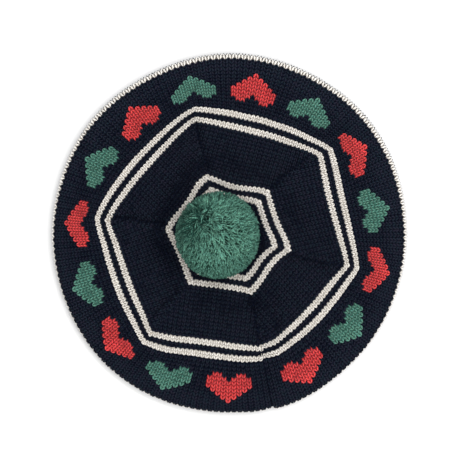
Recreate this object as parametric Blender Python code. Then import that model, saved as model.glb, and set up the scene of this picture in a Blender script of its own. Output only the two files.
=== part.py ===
"""A knit beret with a pompom, lying on its headband.

The crown is knitted in six wedges that meet in creases, one of them the sewn
seam. It rolls over at the rim, where a cream band lies, and the underside runs
back in to a ribbed headband. +X is to the right and +Y away from someone who
looks down on the hat, +Z is up, and the origin is on the resting surface under
the middle of the crown.
"""
import math

import bmesh
import bpy
from mathutils import Vector

# Outline and levels, in metres
RIM_RADIUS = 0.125
RIM_CLEARANCE = 0.0015
LIP_RADIUS = 0.0065
BAND_RADIUS = 0.074
BAND_HEIGHT = 0.020
KNIT_WALL = 0.0028
CROWN_SLACK = 0.0030
SEAT_MARGIN = 0.0015
PIECE_GAP = 0.0003

# The creases between the wedges and the fullness between the creases
CREASE_DEPTH = 0.0022
CREASE_WIDTH = 0.0060
WEDGE_PUFF = 0.0012

# The cream band at the fold, and how far the fold has slid along the fabric
ROW_PITCH = 0.00254
STRIPE_ROWS = 2
STRIPE_START = 0.0046
FOLD_SLIDE = 0.0025
FOLD_SLIDE_TOWARDS = 85.0

# The ribbed headband
RIB_COUNT = 40
RIB_DEPTH = 0.0011

# The pompom: its core rests on the crown, and its locks lean away from a parting
POMPOM_RADIUS = 0.0288
POMPOM_ASIDE = -0.0077
LOCK_LENGTH = 0.0050
LOCK_SPREAD = 0.98
LOCK_LEAN = 0.0016
LOCK_UNEVEN = 0.0009
PARTING = Vector((-0.42, 0.47, 0.78))
GOLDEN_ANGLE = math.pi * (3 - math.sqrt(5))

# Each wedge runs counterclockwise from its own line, and the first line is the
# seam. Angles are in degrees from +X. Reaches are shares of the rim's radius:
# at the line and at the middle of the side, on the outer and the inner ring.
WEDGE_COLUMNS = ("rim_angle", "outer_angle", "outer_corner", "outer_side",
                 "inner_angle", "inner_corner", "inner_side")
WEDGE_ROWS = (
    (-75.8, -75.0, 0.730, 0.704, -69.4, 0.353, 0.301),
    (-14.5, -14.5, 0.757, 0.686, -14.0, 0.364, 0.295),
    (39.8, 39.8, 0.757, 0.694, 47.8, 0.341, 0.292),
    (105.0, 105.0, 0.754, 0.693, 111.0, 0.371, 0.310),
    (172.8, 172.8, 0.762, 0.711, 172.8, 0.356, 0.313),
    (231.8, 231.8, 0.782, 0.701, 231.0, 0.362, 0.305),
)
WEDGES = [dict(zip(WEDGE_COLUMNS, row)) for row in WEDGE_ROWS]
WEDGE_COUNT = len(WEDGES)
FULL_TURN = 360.0

# The rim isn't quite round: its reach at some angles, as a share of its radius
OUTLINE_COLUMNS = ("angle", "reach")
OUTLINE_ROWS = (
    (0, 1.005), (45, 1.024), (62, 1.020), (88, 1.025), (120, 1.011), (138, 1.013),
    (170, 1.000), (195, 0.998), (232, 1.012), (268, 1.003), (289, 1.018), (314, 1.003),
    (340, 1.002),
)
OUTLINE = [dict(zip(OUTLINE_COLUMNS, row)) for row in OUTLINE_ROWS]

# Stations along a line from the rim to the middle. Station 0 is the rim's widest
# line, 1 the start of the roll, 2 the outer ring, 3 the inner ring, 4 the middle.
# Negative stations run under the hat: -1 its lowest line, then the edge of the
# flat seat over the headband, and -2 the seat's inner edge.
ROLL_REACH = 0.93
CROWN_STATIONS = (4.0, 3.65, 3.3, 3.0, 2.75, 2.5, 2.25, 2.0, 1.75, 1.5, 1.25, 1.0, 0.7)
SEAT_STATION = -1.9
UNDERSIDE_STATIONS = (-0.62, -1.0, -1.3, -1.6, SEAT_STATION, -2.0)
CREASE_STATIONS = {"outer_end": 1.35, "outer_full": 2.0, "inner_full": 3.15, "inner_end": 3.75}

# Soft folds beside the creases: the turn and station of each end, in wedges
# from the seam, and the depth as a share of a crease's
FOLD_COLUMNS = ("turn", "station", "end_turn", "end_station", "depth")
FOLD_ROWS = (
    (0.25, 2.80, 0.10, 2.30, 0.55),
    (2.92, 2.75, 2.86, 2.35, 0.45),
)
FOLDS = [dict(zip(FOLD_COLUMNS, row)) for row in FOLD_ROWS]

# Where the columns lie across a wedge, from one line at -1 to the next at 1
COLUMN_SPOTS = (-1.0, -0.93, -0.8, -0.58, -0.3, 0.0, 0.3, 0.58, 0.8, 0.93)
COLUMNS = WEDGE_COUNT * len(COLUMN_SPOTS)

# Levels and lengths that follow from the sizes above
RIM_LEVEL = RIM_CLEARANCE + LIP_RADIUS
BAND_COVER = BAND_HEIGHT + 2 * KNIT_WALL + CREASE_DEPTH + CROWN_SLACK
CROWN_RISE = (BAND_COVER - RIM_LEVEL) / math.sqrt(1 - (BAND_RADIUS / RIM_RADIUS) ** 2)
ROLL_ANGLE = math.acos(ROLL_REACH)
ROLL_STEPS = 60

# Colour, roughness and metallic value of each piece's material
FINISHES = {
    "crown": ((0.010, 0.012, 0.022, 1.0), 0.92, 0.0),
    "rim_stripe": ((0.760, 0.720, 0.640, 1.0), 0.92, 0.0),
    "underside": ((0.010, 0.012, 0.022, 1.0), 0.92, 0.0),
    "headband": ((0.009, 0.011, 0.020, 1.0), 0.92, 0.0),
    "pompom": ((0.055, 0.200, 0.125, 1.0), 0.95, 0.0),
}


def smooth(share):
    """Ease from 0 to 1 with level ends."""
    share = min(max(share, 0.0), 1.0)
    return share * share * (3 - 2 * share)


def mix(low, high, share):
    """Value between two others."""
    return low + (high - low) * share


def outline_share(angle):
    """Reach of the rim at an angle, eased between the rows of the outline."""
    for index, row in enumerate(OUTLINE):
        after = OUTLINE[(index + 1) % len(OUTLINE)]
        span = (after["angle"] - row["angle"]) % FULL_TURN
        offset = (angle - row["angle"]) % FULL_TURN
        if offset < span:
            return mix(row["reach"], after["reach"], smooth(offset / span))
    return 1.0


def wedge_at(turn):
    """Wedge at a turn, the wedge after it, and the place across it from -1 to 1."""
    turn %= WEDGE_COUNT
    index = int(turn)
    return WEDGES[index], WEDGES[(index + 1) % WEDGE_COUNT], 2 * (turn - index) - 1


def line_angle(name, turn):
    """Angle across a wedge, from its own line to the next one's."""
    wedge, after, across = wedge_at(turn)
    span = (after[name] - wedge[name]) % FULL_TURN
    return wedge[name] + span * (across + 1) / 2


def ring_reach(ring, turn):
    """Reach of the outer or inner ring, bowed between its corners."""
    wedge, after, across = wedge_at(turn)
    side = wedge[ring + "_side"]
    corner = mix(wedge[ring + "_corner"], after[ring + "_corner"], (across + 1) / 2)
    return mix(side, corner, across * across)


def rolled_arcs():
    """Lengths along the roll, from the rim's widest line up to each of its even steps."""
    arcs = [0.0]
    step = ROLL_ANGLE / ROLL_STEPS
    for index in range(ROLL_STEPS):
        angle = (index + 0.5) * step
        slope = math.hypot(RIM_RADIUS * math.sin(angle), CROWN_RISE * math.cos(angle))
        arcs.append(arcs[-1] + slope * step)
    return arcs


ROLLED_ARCS = rolled_arcs()


def fold_station(arc):
    """Station at a length along the fabric above the rim's widest line, or below it."""
    if arc < 0:
        return arc / (LIP_RADIUS * math.pi / 2)
    for index in range(ROLL_STEPS):
        low, high = ROLLED_ARCS[index], ROLLED_ARCS[index + 1]
        if arc < high:
            return (index + (arc - low) / (high - low)) / ROLL_STEPS
    return 1.0


def stripe_edge(turn, rows_down):
    """Length from the rim's widest line to a line of the cream band, rows down it."""
    angle = line_angle("rim_angle", turn)
    slide = FOLD_SLIDE * math.cos(math.radians(angle - FOLD_SLIDE_TOWARDS))
    return STRIPE_START + slide - rows_down * ROW_PITCH


def plan_point(turn, station):
    """Angle and reach, as a share of the rim's radius, of a point of the crown."""
    rim_angle = line_angle("rim_angle", turn)
    outer_angle = line_angle("outer_angle", turn)
    inner_angle = line_angle("inner_angle", turn)
    rim_share = outline_share(rim_angle)
    if station <= 1:
        return rim_angle, rim_share * math.cos(station * ROLL_ANGLE)
    if station <= 2:
        share = station - 1
        reach = mix(ROLL_REACH * rim_share, ring_reach("outer", turn), share)
        return mix(rim_angle, outer_angle, share), reach
    if station <= 3:
        share = station - 2
        reach = mix(ring_reach("outer", turn), ring_reach("inner", turn), share)
        return mix(outer_angle, inner_angle, share), reach
    return inner_angle, ring_reach("inner", turn) * (4 - station)


def crease_strength(station):
    """How deep a crease is along its line: none at the rim or at the middle."""
    ends = CREASE_STATIONS
    outer = (station - ends["outer_end"]) / (ends["outer_full"] - ends["outer_end"])
    inner = (ends["inner_end"] - station) / (ends["inner_end"] - ends["inner_full"])
    return smooth(outer) * smooth(inner)


def crown_relief(turn, station, reach):
    """Height added between the creases and taken away along them."""
    wedge, after, across = wedge_at(turn)
    span = math.radians((after["outer_angle"] - wedge["outer_angle"]) % FULL_TURN)
    from_line = (1 - abs(across)) * reach * RIM_RADIUS * span / 2
    valley = CREASE_DEPTH * math.exp(-((from_line / CREASE_WIDTH) ** 2))
    puff = WEDGE_PUFF * (1 - across * across)
    return crease_strength(station) * (puff - valley)


def fold_relief(turn, station, reach):
    """Height taken away along the soft folds beside the creases."""
    relief = 0.0
    for fold in FOLDS:
        along = (fold["station"] - station) / (fold["station"] - fold["end_station"])
        at_fold = mix(fold["turn"], fold["end_turn"], min(max(along, 0.0), 1.0))
        aside = (turn - at_fold + WEDGE_COUNT / 2) % WEDGE_COUNT - WEDGE_COUNT / 2
        across = aside * reach * RIM_RADIUS * math.tau / WEDGE_COUNT
        past_end = max(-along, along - 1, 0.0)
        fade = smooth(1 - past_end * 2)
        relief -= fold["depth"] * fade * math.exp(-((across / CREASE_WIDTH) ** 2))
    return relief * CREASE_DEPTH


def crown_point(turn, station):
    """Outer face of the crown: a dome, with its wedges puffed and its lines creased."""
    angle, reach = plan_point(turn, station)
    round_reach = reach / mix(outline_share(angle), 1.0, smooth(station / 2))
    height = RIM_LEVEL + CROWN_RISE * math.sqrt(max(0.0, 1 - round_reach * round_reach))
    height += crown_relief(turn, station, reach) + fold_relief(turn, station, reach)
    angle = math.radians(angle)
    radius = reach * RIM_RADIUS
    return Vector((radius * math.cos(angle), radius * math.sin(angle), height))


def under_point(turn, station):
    """Outer face of the underside: the lip's quarter circle, a rise, and the seat."""
    angle = line_angle("rim_angle", turn)
    lip = RIM_RADIUS * outline_share(angle) - LIP_RADIUS
    shelf = BAND_RADIUS + SEAT_MARGIN
    if station >= -1:
        quarter = -station * math.pi / 2
        radius = lip + LIP_RADIUS * math.cos(quarter)
        height = RIM_LEVEL - LIP_RADIUS * math.sin(quarter)
    elif station >= SEAT_STATION:
        share = (station + 1) / (SEAT_STATION + 1)
        radius = mix(lip, shelf, share)
        height = mix(RIM_CLEARANCE, BAND_HEIGHT, smooth(share))
    else:
        share = (station - SEAT_STATION) / (-2 - SEAT_STATION)
        radius = mix(shelf, BAND_RADIUS - KNIT_WALL, share)
        height = BAND_HEIGHT
    angle = math.radians(angle)
    return Vector((radius * math.cos(angle), radius * math.sin(angle), height))


def skin_point(turn, station):
    """Outer face of the knit shell at a turn about the hat and a station along it."""
    if station < 0:
        return under_point(turn, station)
    return crown_point(turn, station)


def wall_point(turn, station, depth):
    """Point at a depth inside the knit's outer face, along its normal."""
    middle = skin_point(turn, station)
    if station == CROWN_STATIONS[0]:
        return middle - Vector((0, 0, depth))
    nudge = 0.02
    outward = skin_point(turn, station - nudge) - skin_point(turn, station + nudge)
    around = skin_point(turn + nudge, station) - skin_point(turn - nudge, station)
    return middle - outward.cross(around).normalized() * depth


def make_material(name):
    """Principled material of a piece, from the table of finishes."""
    colour, roughness, metallic = FINISHES[name]
    material = bpy.data.materials.new(name)
    material.use_nodes = True
    shader = material.node_tree.nodes["Principled BSDF"]
    shader.inputs["Base Color"].default_value = colour
    shader.inputs["Roughness"].default_value = roughness
    shader.inputs["Metallic"].default_value = metallic
    material.diffuse_color = colour
    return material


def finish_object(name, shaped, collection):
    """Write a bmesh to one named object with its own material, facing outwards."""
    bmesh.ops.recalc_face_normals(shaped, faces=shaped.faces)
    if shaped.calc_volume(signed=True) < 0:
        bmesh.ops.reverse_faces(shaped, faces=shaped.faces)
    mesh = bpy.data.meshes.new(name)
    shaped.to_mesh(mesh)
    shaped.free()
    mesh.shade_smooth()
    mesh.set_sharp_from_angle(angle=math.radians(50))
    mesh.materials.append(make_material(name))
    collection.objects.link(bpy.data.objects.new(name, mesh))


def turned_ring(profile, columns):
    """Closed section, a list of radius and height, turned all the way about Z."""
    turned = bmesh.new()
    corners = [turned.verts.new((radius, 0, height)) for radius, height in profile]
    edges = []
    for index, corner in enumerate(corners):
        edges.append(turned.edges.new((corner, corners[(index + 1) % len(corners)])))
    bmesh.ops.spin(turned, geom=corners + edges, cent=(0, 0, 0), axis=(0, 0, 1),
                   angle=math.tau, steps=columns, use_duplicate=False)
    bmesh.ops.remove_doubles(turned, verts=turned.verts, dist=PIECE_GAP / 10)
    return turned


def shell_blank(ring_count):
    """Turned blank of the knit shell, made to be shaped by the place of each corner.

    Ring i lies at radius i + 1, with the outer skin at height 1 and the inner at 0.
    """
    outer = [(ring + 1, 1) for ring in range(ring_count)]
    inner = [(ring + 1, 0) for ring in reversed(range(ring_count))]
    return turned_ring(outer + inner, COLUMNS)


def close_middle(blank):
    """Draw the first ring of each skin together on the axis."""
    for height in (0, 1):
        ring = [v for v in blank.verts if round(v.co.z) == height and v.co.xy.length < 1.5]
        bmesh.ops.pointmerge(blank, verts=ring, merge_co=(0, 0, height))
    axis_edges = [e for e in blank.edges if all(v.co.xy.length < 0.5 for v in e.verts)]
    bmesh.ops.delete(blank, geom=axis_edges, context="EDGES")


def column_turn(column):
    """Turn about the hat of a column: they lie closer together beside the lines."""
    wedge, spot = divmod(column, len(COLUMN_SPOTS))
    return wedge + (COLUMN_SPOTS[spot] + 1) / 2


def shape_shell(blank, station_at):
    """Lay a turned blank out as a piece of the knit shell."""
    for corner in blank.verts:
        ring = max(round(corner.co.xy.length) - 1, 0)
        angle = math.atan2(corner.co.y, corner.co.x) % math.tau
        turn = column_turn(round(angle / math.tau * COLUMNS) % COLUMNS)
        depth = (1 - round(corner.co.z)) * KNIT_WALL
        corner.co = wall_point(turn, station_at(ring, turn), depth)
    return blank


def make_crown(collection):
    """Knitted top, from the middle out to the cream band at the fold."""
    def station_at(ring, turn):
        if ring < len(CROWN_STATIONS):
            return CROWN_STATIONS[ring]
        return fold_station(stripe_edge(turn, 0) + PIECE_GAP)
    blank = shell_blank(len(CROWN_STATIONS) + 1)
    close_middle(blank)
    finish_object("crown", shape_shell(blank, station_at), collection)


def make_rim_stripe(collection):
    """Cream band round the fold, with a line of corners between its rows."""
    def station_at(ring, turn):
        return fold_station(stripe_edge(turn, ring))
    blank = shell_blank(STRIPE_ROWS + 1)
    finish_object("rim_stripe", shape_shell(blank, station_at), collection)


def make_underside(collection):
    """Knitted return from the cream band in to the headband."""
    def station_at(ring, turn):
        if ring == 0:
            return fold_station(stripe_edge(turn, STRIPE_ROWS) - PIECE_GAP)
        return UNDERSIDE_STATIONS[ring - 1]
    blank = shell_blank(len(UNDERSIDE_STATIONS) + 1)
    finish_object("underside", shape_shell(blank, station_at), collection)


def make_headband(collection):
    """Ribbed band under the underside's seat, standing on its cast-on edge."""
    inner = BAND_RADIUS - KNIT_WALL
    top = BAND_HEIGHT - PIECE_GAP
    columns = 2 * RIB_COUNT
    band = turned_ring([(BAND_RADIUS, top), (BAND_RADIUS, 0), (inner, 0), (inner, top)], columns)
    for corner in band.verts:
        column = round(math.atan2(corner.co.y, corner.co.x) / math.tau * columns)
        if column % 2:
            corner.co.xy *= 1 - RIB_DEPTH / corner.co.xy.length
    finish_object("headband", band, collection)


def make_pompom(collection):
    """Trimmed yarn ball: a core resting on the crown, with a lock fused to each face."""
    core_radius = POMPOM_RADIUS - LOCK_LENGTH
    seat = RIM_LEVEL + CROWN_RISE + PIECE_GAP
    centre = Vector((POMPOM_ASIDE, 0, seat + core_radius))
    ball = bmesh.new()
    bmesh.ops.create_icosphere(ball, subdivisions=3, radius=core_radius)
    rooted = [f for f in ball.faces if f.calc_center_median().z > LOCK_LENGTH / 4 - core_radius]
    locks = bmesh.ops.extrude_discrete_faces(ball, faces=rooted)["faces"]
    parting = PARTING.normalized()
    for index, face in enumerate(locks):
        root = face.calc_center_median()
        out = root.normalized()
        lean = (out - parting * out.dot(parting)) * LOCK_LEAN
        trimmed = POMPOM_RADIUS - LOCK_UNEVEN * (1 + math.sin(index * GOLDEN_ANGLE)) / 2
        for corner in face.verts:
            spread = out * POMPOM_RADIUS + lean + (corner.co - root) * LOCK_SPREAD
            corner.co = spread.normalized() * trimmed
            corner.co.z = max(corner.co.z, -core_radius)
    bmesh.ops.translate(ball, verts=ball.verts, vec=centre)
    finish_object("pompom", ball, collection)


def build():
    """Clear the scene and make the five pieces in one collection."""
    for leftover in list(bpy.data.objects):
        bpy.data.objects.remove(leftover, do_unlink=True)
    collection = bpy.data.collections.new("knit_beret")
    bpy.context.scene.collection.children.link(collection)
    make_crown(collection)
    make_rim_stripe(collection)
    make_underside(collection)
    make_headband(collection)
    make_pompom(collection)


build()
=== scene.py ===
# %% [markdown]
# # A knit beret, stitch by stitch
#
# The real hat is a child's beret in double knitting wool: a ribbed headband, an
# underside, a cream stripe at the fold of the rim, and a crown of six wedges with
# striped rings, hearts and a pompom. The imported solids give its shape. These cells
# lay yarn over that shape, one knitted stitch at a time, so that the hat looks knitted
# from any side and not only from above.

# %% Load the frame
import math

import bpy
import numpy as np
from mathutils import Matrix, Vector


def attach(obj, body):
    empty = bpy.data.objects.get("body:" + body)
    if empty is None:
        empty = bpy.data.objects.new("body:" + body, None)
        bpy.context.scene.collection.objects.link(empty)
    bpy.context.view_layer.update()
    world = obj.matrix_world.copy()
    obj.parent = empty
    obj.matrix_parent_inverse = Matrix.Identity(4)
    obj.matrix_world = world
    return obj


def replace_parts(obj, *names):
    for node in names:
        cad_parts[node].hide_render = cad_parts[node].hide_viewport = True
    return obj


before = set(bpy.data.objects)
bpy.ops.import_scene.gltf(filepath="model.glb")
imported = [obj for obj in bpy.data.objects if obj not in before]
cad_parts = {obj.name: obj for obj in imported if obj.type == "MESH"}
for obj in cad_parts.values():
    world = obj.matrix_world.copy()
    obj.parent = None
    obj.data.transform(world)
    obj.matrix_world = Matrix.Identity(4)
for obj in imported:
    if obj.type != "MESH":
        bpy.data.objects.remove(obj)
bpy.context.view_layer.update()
bpy.ops.object.select_all(action="DESELECT")
print("solids:", ", ".join(sorted(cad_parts)))

# %% [markdown]
# ## Camera
#
# The photo looks straight down from well above, so lines that stand up hardly lean.
# A long lens at 1.4 m gives the pompom the same size against the rim as the photo has.

# %% Camera
VIEW_HEIGHT = 1.40
VIEW_CENTRE = (0.0007, 0.0035)
# the width that the picture shows at the level of the rim
VIEW_WIDTH = 0.3238
RIM_LEVEL = 0.008
SENSOR = 36.0

lens = bpy.data.cameras.new("overhead_lens")
lens.sensor_width = SENSOR
lens.lens = SENSOR * (VIEW_HEIGHT - RIM_LEVEL) / VIEW_WIDTH
lens.clip_end = 20.0
camera = bpy.data.objects.new("overhead_camera", lens)
camera.location = (*VIEW_CENTRE, VIEW_HEIGHT)
bpy.context.scene.collection.objects.link(camera)
bpy.context.scene.camera = camera
print("lens", round(lens.lens, 1), "mm")

# %% [markdown]
# ## The shape of the knit
#
# Every stitch needs a place on the hat. A *turn* counts wedges counterclockwise from
# the seam, 0 to 6, and a *station* runs along the fabric: 0 is the rim's widest line, 1
# the start of the roll, 2 the outer ring, 3 the inner ring and 4 the middle. Negative
# stations run back under the hat, -1 at its lowest line. These are the lines of the
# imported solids, written here again so that whole arrays of stitches are placed at once.

# %% Sizes of the hat
RIM_RADIUS = 0.125
LIP_RADIUS = 0.0065
LIP_BASE = 0.0015
BAND_RADIUS = 0.074
BAND_HEIGHT = 0.020
CROWN_RISE = 0.02828
CREASE_DEPTH = 0.0022
CREASE_WIDTH = 0.0060
WEDGE_PUFF = 0.0012
# a row of the cream stripe, how far its top lies above the rim's widest line, and how far
# and towards which angle it slides up the fold, a little more fully than a cosine
ROW_PITCH = 0.00254
STRIPE_START = 0.0046
FOLD_SLIDE = 0.0028
FOLD_SLIDE_TOWARDS = 80.0
SLIDE_FULLNESS = 0.6
ROLL_ANGLE = math.acos(0.93)
SEAT_STATION = -1.9
SEAT_MARGIN = 0.0015

# angle at the rim, the outer and the inner ring; reach of the rings at line and side
WEDGES = np.array([
    (-75.8, -75.0, 0.730, 0.704, -69.4, 0.353, 0.301),
    (-14.5, -14.5, 0.757, 0.686, -14.0, 0.364, 0.295),
    (39.8, 39.8, 0.757, 0.694, 47.8, 0.341, 0.292),
    (105.0, 105.0, 0.754, 0.693, 111.0, 0.371, 0.310),
    (172.8, 172.8, 0.762, 0.711, 174.6, 0.356, 0.313),
    (231.8, 231.8, 0.782, 0.701, 231.0, 0.362, 0.305),
])
RIM_ANGLE, OUTER_ANGLE, OUTER_CORNER, OUTER_SIDE, INNER_ANGLE, INNER_CORNER, INNER_SIDE = range(7)
WEDGE_COUNT = len(WEDGES)
# how far the rings are pulled out of line: angle, millimetres at the outer and inner ring
RING_NUDGES = np.array([
    (0, 0.0, 0.6), (20, -0.4, -0.4), (37, 0.6, -1.2), (52, 0.0, -0.2), (82, -1.2, -0.7),
    (100, -0.9, -0.7), (111, -0.5, -0.2), (122, -1.1, 1.4), (135, -1.1, 0.4), (152, 0.0, 0.0),
    (165, 0.7, 0.5), (173, 0.1, 0.8), (184, -1.3, 0.0), (196, -0.8, -0.3), (210, 0.3, -0.1),
    (224, 0.4, -0.2), (229, 0.7, -0.4), (233, 0.6, -0.6), (238, 2.2, -0.6), (242, 2.7, -0.3),
    (247, 1.7, -0.2), (255, 0.6, -0.2), (264, -0.3, -0.2), (277, 0.1, -0.4), (284.99, 0.6, -0.6),
    (285, -1.0, -0.6), (292, 1.1, 0.8), (300, 0.4, 1.3), (308, 0.2, 1.5), (320, 0.2, 0.3),
    (338, 0.0, -1.1), (346, 0.2, -0.4), (353, 0.2, 0.6), (360, 0.0, 0.6),
])
# reach of the rim at some angles, as shares of its radius
OUTLINE = np.array([
    (0, 1.005), (45, 1.024), (62, 1.020), (88, 1.025), (120, 1.011), (138, 1.013),
    (170, 1.000), (195, 0.998), (232, 1.012), (268, 1.003), (289, 1.018), (314, 1.003),
    (340, 1.002), (360, 1.005),
])
MILLIMETRE = 0.001
# the knitting starts and ends at turn 0, where the rim steps in, in shares and degrees
SEAM_NOTCH = 0.0085
SEAM_BEFORE = 4.0
SEAM_AFTER = 0.8
# turn and station of each end of a soft fold, its depth and its width in millimetres
FOLDS = (
    (0.25, 2.80, 0.10, 2.30, 1.2, 6.0),
    (2.92, 2.75, 2.86, 2.35, 1.0, 6.0),
)
# the pleats beside the wedge lines and the seam: a width in millimetres, then turn, station
# and depth in millimetres of each point that they pass
PLEATS = (
    (0.9, (3.975, 2.250, 2.0), (3.948, 2.482, 2.3), (3.955, 2.657, 1.7), (3.935, 2.970, 1.4)),
    (0.9, (3.000, 2.250, 2.2), (2.988, 2.522, 2.0), (2.980, 2.652, 1.0), (2.958, 2.960, 1.0)),
    (0.9, (2.033, 2.330, 1.0), (2.033, 2.485, 1.3), (2.035, 2.765, 1.4), (2.005, 2.940, 1.8)),
    (0.9, (0.932, 2.970, 1.4), (0.948, 2.735, 1.4), (0.968, 2.535, 1.8), (0.985, 2.250, 1.2)),
    (0.8, (5.985, 2.990, 1.3), (5.990, 2.808, 1.6), (5.980, 2.513, 1.8), (5.982, 2.335, 1.8)),
    (0.9, (4.928, 2.860, 1.2), (4.935, 2.718, 1.6), (4.920, 2.553, 1.6), (4.925, 2.370, 2.1)),
    (0.9, (0.000, 2.340, 0.9), (0.000, 0.250, 0.9)),
)
# in the same way, a soft fold beside the seam, the hollow that sinks round the inner ring,
# and the one that the pompom's foot makes
HOLLOWS = (
    (2.4, (0.212, 2.880, 0.8), (0.143, 2.675, 1.2), (0.163, 2.535, 0.9), (0.190, 2.385, 1.1)),
    (4.6, (0.000, 2.870, 1.3), (0.253, 2.845, 1.1), (0.450, 2.800, 0.0), (1.100, 2.800, 0.0),
     (1.330, 2.770, 0.7), (1.535, 2.797, 0.9), (1.950, 2.800, 0.0), (2.397, 2.810, 0.9),
     (2.812, 2.683, 0.8), (3.138, 2.820, 1.5), (3.540, 2.833, 1.5), (4.000, 2.897, 1.0),
     (4.223, 2.855, 1.9), (4.688, 2.860, 1.1), (5.000, 2.850, 0.2), (5.265, 2.820, 1.1),
     (5.708, 2.782, 1.1), (5.999, 2.870, 1.3)),
    (2.6, (2.882, 3.075, 0.2), (2.488, 3.160, 0.8), (2.042, 3.400, 1.2), (1.492, 3.380, 1.7),
     (0.960, 3.460, 1.9), (0.403, 3.380, 1.4), (5.907, 3.300, 0.9), (5.383, 3.130, 0.7)),
)
# the knit lies a little uneven: height in millimetres, wavelength along x and y in metres,
# and the shares of the rim's radius where that stops and over which it fades
RUMPLES = ((0.22, 0.019, 0.043), (0.20, -0.027, 0.021), (0.16, 0.051, -0.016))
RUMPLE_STOP = 0.97
RUMPLE_FADE = 0.1
# stations where the creases start and stop, and over which they deepen and fade
CREASE_START, CREASE_DEEPENS = 1.35, 0.65
CREASE_STOP, CREASE_FADES = 3.75, 0.6
print(WEDGE_COUNT, "wedges,", len(PLEATS), "pleats and", len(HOLLOWS), "soft hollows")


# %% Where a turn and a station lie
def smooth(share):
    """Ease from 0 to 1 with level ends."""
    share = np.clip(share, 0.0, 1.0)
    return share * share * (3 - 2 * share)


def bell(distance, width, power=2):
    """1 at distance 0, about a third at one width from it, and next to nothing at two."""
    return np.exp(-((distance / width) ** power))


def unit(vectors):
    """Vectors at length 1."""
    return vectors / np.maximum(np.linalg.norm(vectors, axis=-1, keepdims=True), 1e-12)


def outline_share(angle):
    """Reach of the rim at each angle, as a share of its radius."""
    angle = np.mod(angle, 360.0)
    row = np.clip(np.searchsorted(OUTLINE[:, 0], angle, side="right") - 1, 0, len(OUTLINE) - 2)
    span = OUTLINE[row + 1, 0] - OUTLINE[row, 0]
    ease = smooth((angle - OUTLINE[row, 0]) / span)
    seam = np.mod(angle - WEDGES[0, RIM_ANGLE] + 180.0, 360.0) - 180.0
    notch = SEAM_NOTCH * bell(seam, np.where(seam < 0, SEAM_BEFORE, SEAM_AFTER))
    return OUTLINE[row, 1] + (OUTLINE[row + 1, 1] - OUTLINE[row, 1]) * ease - notch


def wedge_of(turn):
    """Wedge under each turn, the one after it, and the place across from -1 to 1."""
    turn = np.mod(turn, WEDGE_COUNT)
    index = np.minimum(turn.astype(int), WEDGE_COUNT - 1)
    return index, (index + 1) % WEDGE_COUNT, 2 * (turn - index) - 1


def line_angle(column, turn):
    """Angle in degrees across a wedge, from its own line to the next one's."""
    index, after, across = wedge_of(turn)
    start = WEDGES[index, column]
    return start + np.mod(WEDGES[after, column] - start, 360.0) * (across + 1) / 2


def ring_reach(corner, side, turn, nudge):
    """Reach of a ring, bowed between its corners and pulled a little out of line."""
    index, after, across = wedge_of(turn)
    at_corner = WEDGES[index, corner]
    at_corner = at_corner + (WEDGES[after, corner] - at_corner) * (across + 1) / 2
    return WEDGES[index, side] + (at_corner - WEDGES[index, side]) * across * across + nudge


def ring_nudge(ring, angle):
    """Pull on the outer ring (1) or the inner ring (2) at each angle, as a share."""
    pull = np.interp(np.mod(angle, 360.0), RING_NUDGES[:, 0], RING_NUDGES[:, ring])
    return pull * MILLIMETRE / RIM_RADIUS


ROLL_STEPS = 60
roll = (np.arange(ROLL_STEPS) + 0.5) * ROLL_ANGLE / ROLL_STEPS
roll_slope = np.hypot(RIM_RADIUS * np.sin(roll), CROWN_RISE * np.cos(roll))
ROLLED_ARCS = np.concatenate(([0.0], np.cumsum(roll_slope * ROLL_ANGLE / ROLL_STEPS)))
LIP_ARC = LIP_RADIUS * math.pi / 2
print("roll is", round(ROLLED_ARCS[-1] / MILLIMETRE, 1), "mm along the fabric")


# %% The hat's outer face
def plan_place(turn, station):
    """Angle and reach of a point of the crown, seen from above."""
    rim, outer, inner = (line_angle(c, turn) for c in (RIM_ANGLE, OUTER_ANGLE, INNER_ANGLE))
    edge = outline_share(rim)
    ring_2 = ring_reach(OUTER_CORNER, OUTER_SIDE, turn, ring_nudge(1, outer))
    ring_3 = ring_reach(INNER_CORNER, INNER_SIDE, turn, ring_nudge(2, inner))
    roll_end = math.cos(ROLL_ANGLE) * edge
    ease = [np.clip(station - start, 0.0, 1.0) for start in (1, 2, 3)]
    angle = rim + (outer - rim) * ease[0] + (inner - outer) * ease[1]
    reach = roll_end + (ring_2 - roll_end) * ease[0] + (ring_3 - ring_2) * ease[1]
    reach = reach - ring_3 * ease[2]
    return angle, np.where(station <= 1, edge * np.cos(station * ROLL_ANGLE), reach)


def ditch(aside, along, width):
    """Share of a fold's depth beside it, fading over a third of its length past its ends."""
    fade = smooth(1 - 3 * np.maximum(np.maximum(-along, along - 1), 0))
    return fade * bell(aside, width)


def crown_relief(turn, station, reach):
    """Height added between the creases, and taken away along them and the soft folds."""
    index, after, across = wedge_of(turn)
    span = np.radians(np.mod(WEDGES[after, OUTER_ANGLE] - WEDGES[index, OUTER_ANGLE], 360.0))
    from_line = (1 - np.abs(across)) * reach * RIM_RADIUS * span / 2
    strength = smooth((station - CREASE_START) / CREASE_DEEPENS)
    strength = strength * smooth((CREASE_STOP - station) / CREASE_FADES)
    relief = strength * (WEDGE_PUFF * (1 - across * across)
                         - CREASE_DEPTH * bell(from_line, CREASE_WIDTH))
    for turn_0, station_0, turn_1, station_1, depth, width in FOLDS:
        along = (station_0 - station) / (station_0 - station_1)
        aside = turn - (turn_0 + (turn_1 - turn_0) * np.clip(along, 0, 1))
        aside = np.mod(aside + WEDGE_COUNT / 2, WEDGE_COUNT) - WEDGE_COUNT / 2
        aside = aside * reach * RIM_RADIUS * math.tau / WEDGE_COUNT
        relief -= depth * MILLIMETRE * ditch(aside, along, width * MILLIMETRE)
    return relief


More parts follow.
